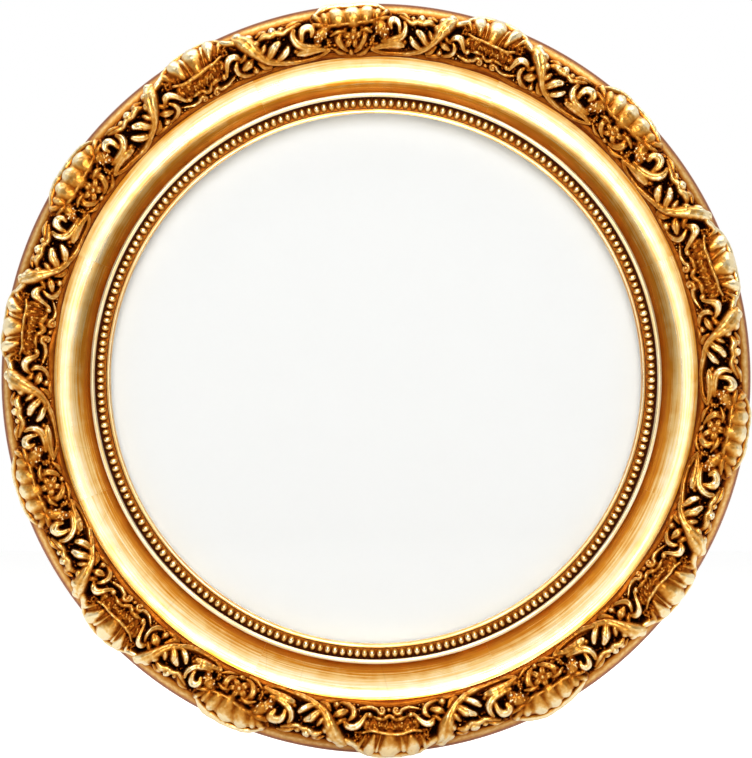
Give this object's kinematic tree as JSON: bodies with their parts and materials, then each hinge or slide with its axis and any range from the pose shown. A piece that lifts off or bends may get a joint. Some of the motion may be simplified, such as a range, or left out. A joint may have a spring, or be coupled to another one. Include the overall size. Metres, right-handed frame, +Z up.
{
  "type": "round photo frame",
  "caption": "Round gilt wall frame for a photo: pearl sight edge, hollow cove and a rim of cast shells and leaves, with glass, backing, turn buttons and a ring to hang it by.",
  "frame": {"origin": "on the frame's axis, in the flat back face that lies against the wall", "axes": "+Y out of the back into the wall, so the face looks along -Y; +Z up as it hangs; +X to the right seen from the front"},
  "size_m": [0.418, 0.0326, 0.4212],
  "materials": {
    "gilt_moulding": "metal leaf over gesso, burnished and toned",
    "gilt_slip": "metal leaf over gesso, burnished",
    "gilt_pearls": "metal leaf on pressed composition",
    "gilt_ornament": "metal leaf on cast composition, dark wash in the hollows",
    "plywood": "sanded",
    "beech": "sawn",
    "hardboard": "smooth pressed fibre",
    "greyboard": "matt",
    "photo_paper": "blank white, satin",
    "picture_glass": "clear float glass",
    "zinc_steel": "zinc plated",
    "brass_plate": "rolled strip",
    "brass_wire": "drawn wire"
  },
  "bodies": {
    "frame": {"rabbet_ring": "plywood", "moulding_segment_1": "gilt_moulding", "moulding_segment_2": "gilt_moulding", "moulding_segment_3": "gilt_moulding", "moulding_segment_4": "gilt_moulding", "moulding_segment_5": "gilt_moulding", "moulding_segment_6": "gilt_moulding", "moulding_segment_7": "gilt_moulding", "moulding_segment_8": "gilt_moulding", "joint_tongues": "beech", "sight_slip": "gilt_slip", "pearl_strip": "gilt_pearls", "cartouche_casting_1": "gilt_ornament", "cartouche_casting_2": "gilt_ornament", "cartouche_casting_3": "gilt_ornament", "cartouche_casting_4": "gilt_ornament", "cartouche_casting_5": "gilt_ornament", "cartouche_casting_6": "gilt_ornament", "cartouche_casting_7": "gilt_ornament", "shell_casting_1": "gilt_ornament", "shell_casting_2": "gilt_ornament", "shell_casting_3": "gilt_ornament", "shell_casting_4": "gilt_ornament", "shell_casting_5": "gilt_ornament", "shell_casting_6": "gilt_ornament", "shell_casting_7": "gilt_ornament", "backing_board": "hardboard", "filler_board": "greyboard", "photo_print": "photo_paper", "glass": "picture_glass", "turn_button_screws": "zinc_steel", "hanger_strap": "brass_plate", "hanger_strap_screws": "brass_plate"},
    "turn_button_1_body": {"turn_button_1": "zinc_steel"},
    "turn_button_2_body": {"turn_button_2": "zinc_steel"},
    "turn_button_3_body": {"turn_button_3": "zinc_steel"},
    "turn_button_4_body": {"turn_button_4": "zinc_steel"},
    "turn_button_5_body": {"turn_button_5": "zinc_steel"},
    "turn_button_6_body": {"turn_button_6": "zinc_steel"},
    "hanger_ring_body": {"hanger_ring": "brass_wire"}
  },
  "joints": [
    {"name": "turn_button_1_turn", "type": "hinge", "parent": "frame", "child": "turn_button_1_body", "pos_m": [0.08175, -0.00425, 0.14159], "axis": [0, 1, 0], "range_deg": [-105, 105]},
    {"name": "turn_button_2_turn", "type": "hinge", "parent": "frame", "child": "turn_button_2_body", "pos_m": [0.1635, -0.00425, 0], "axis": [0, 1, 0], "range_deg": [-105, 105]},
    {"name": "turn_button_3_turn", "type": "hinge", "parent": "frame", "child": "turn_button_3_body", "pos_m": [0.08175, -0.00425, -0.14159], "axis": [0, 1, 0], "range_deg": [-105, 105]},
    {"name": "turn_button_4_turn", "type": "hinge", "parent": "frame", "child": "turn_button_4_body", "pos_m": [-0.08175, -0.00425, -0.14159], "axis": [0, 1, 0], "range_deg": [-105, 105]},
    {"name": "turn_button_5_turn", "type": "hinge", "parent": "frame", "child": "turn_button_5_body", "pos_m": [-0.1635, -0.00425, 0], "axis": [0, 1, 0], "range_deg": [-105, 105]},
    {"name": "turn_button_6_turn", "type": "hinge", "parent": "frame", "child": "turn_button_6_body", "pos_m": [-0.08175, -0.00425, 0.14159], "axis": [0, 1, 0], "range_deg": [-105, 105]},
    {"name": "hanger_ring_swing", "type": "hinge", "parent": "frame", "child": "hanger_ring_body", "pos_m": [0, -0.00295, 0.1742], "axis": [-1, 0, 0], "range_deg": [0, 180]}
  ]
}
